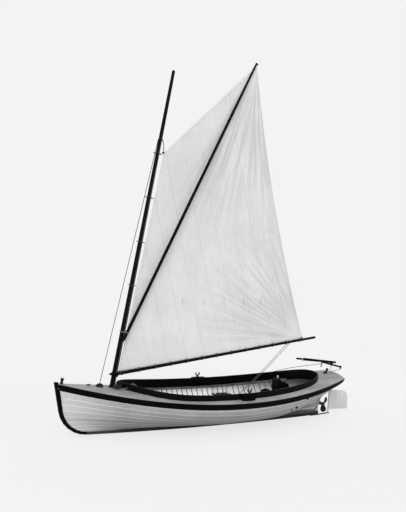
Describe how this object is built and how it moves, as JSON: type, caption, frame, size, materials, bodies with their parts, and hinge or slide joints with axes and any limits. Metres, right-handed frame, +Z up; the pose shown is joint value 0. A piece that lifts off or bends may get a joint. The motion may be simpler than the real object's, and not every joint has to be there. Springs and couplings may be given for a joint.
{
  "type": "motor launch",
  "caption": "Open wooden motor launch with a transom stern, oval coaming, small inboard engine, yoke-and-tiller rudder and a spritsail on a raked mast.",
  "frame": {"origin": "amidships on the centreline at the estimated waterline", "axes": "+X to the bow, +Y to port, +Z up"},
  "size_m": [5.3007, 1.5098, 5.504],
  "materials": {
    "black_iron": "black painted iron",
    "bronze": "dull bronze",
    "dark_varnish": "dark varnished hardwood",
    "deck_canvas": "painted deck",
    "floor_board": "worn bare board",
    "galvanized": "galvanized iron",
    "inside_paint": "light paint on wood",
    "light_hull_paint": "light oil paint on wood",
    "rope": "laid hemp rope",
    "sail_cotton": "white cotton duck",
    "spar_varnish": "varnished spar"
  },
  "bodies": {
    "hull": {"aft_deck": "deck_canvas", "bow_light_socket": "bronze", "coaming_port": "dark_varnish", "coaming_starboard": "dark_varnish", "engine_bed": "floor_board", "engine_block": "black_iron", "exhaust_outlet": "bronze", "floorboards": "floor_board", "fore_line": "rope", "fore_line_cleat": "galvanized", "foredeck": "deck_canvas", "frames_port": "inside_paint", "frames_starboard": "inside_paint", "halyard_cleat": "galvanized", "heel_bar": "black_iron", "keel": "dark_varnish", "keelson": "floor_board", "mast": "spar_varnish", "mast_collar": "dark_varnish", "mast_step": "floor_board", "oarlock_pad_port": "dark_varnish", "oarlock_pad_starboard": "dark_varnish", "planking_port": "light_hull_paint", "planking_starboard": "light_hull_paint", "rub_rail_port": "dark_varnish", "rub_rail_starboard": "dark_varnish", "rudder_tube": "bronze", "side_deck_port": "deck_canvas", "side_deck_starboard": "deck_canvas", "stem": "dark_varnish", "stern_light_socket": "bronze", "stern_tube": "bronze", "sternpost": "light_hull_paint", "thwart": "floor_board", "transom": "light_hull_paint"},
    "rig": {"boom": "spar_varnish", "jaw_parrel": "rope", "sprit": "spar_varnish", "sail": "sail_cotton", "snotter": "rope", "mast_hoop_1": "rope", "mast_hoop_2": "rope", "mast_hoop_3": "rope", "mast_hoop_4": "rope"},
    "rudder_gear": {"rudder": "galvanized", "steering_yoke": "black_iron", "tiller": "spar_varnish"},
    "propeller_gear": {"propeller": "bronze", "propeller_shaft": "bronze", "flywheel": "black_iron"},
    "port_oarlock": {"oarlock_port": "galvanized"},
    "starboard_oarlock": {"oarlock_starboard": "galvanized"}
  },
  "joints": [
    {"name": "rig_swing", "type": "hinge", "parent": "hull", "child": "rig", "pos_m": [1.5513, 0, 0.642], "axis": [-0.144, 0, 0.9896], "range_deg": [-80, 80]},
    {"name": "rudder_turn", "type": "hinge", "parent": "hull", "child": "rudder_gear", "pos_m": [-2.441, 0, -0.163], "axis": [0, 0, 1], "range_deg": [-35, 35]},
    {"name": "propeller_spin", "type": "hinge", "parent": "hull", "child": "propeller_gear", "pos_m": [-2.315, 0, -0.007], "axis": [0.9929, 0, 0.1191], "continuous": true},
    {"name": "port_oarlock_turn", "type": "hinge", "parent": "hull", "child": "port_oarlock", "pos_m": [-0.325, 0.64908, 0.40221], "axis": [0, 0, 1], "continuous": true},
    {"name": "starboard_oarlock_turn", "type": "hinge", "parent": "hull", "child": "starboard_oarlock", "pos_m": [-0.24, -0.65109, 0.40156], "axis": [0, 0, 1], "continuous": true}
  ]
}
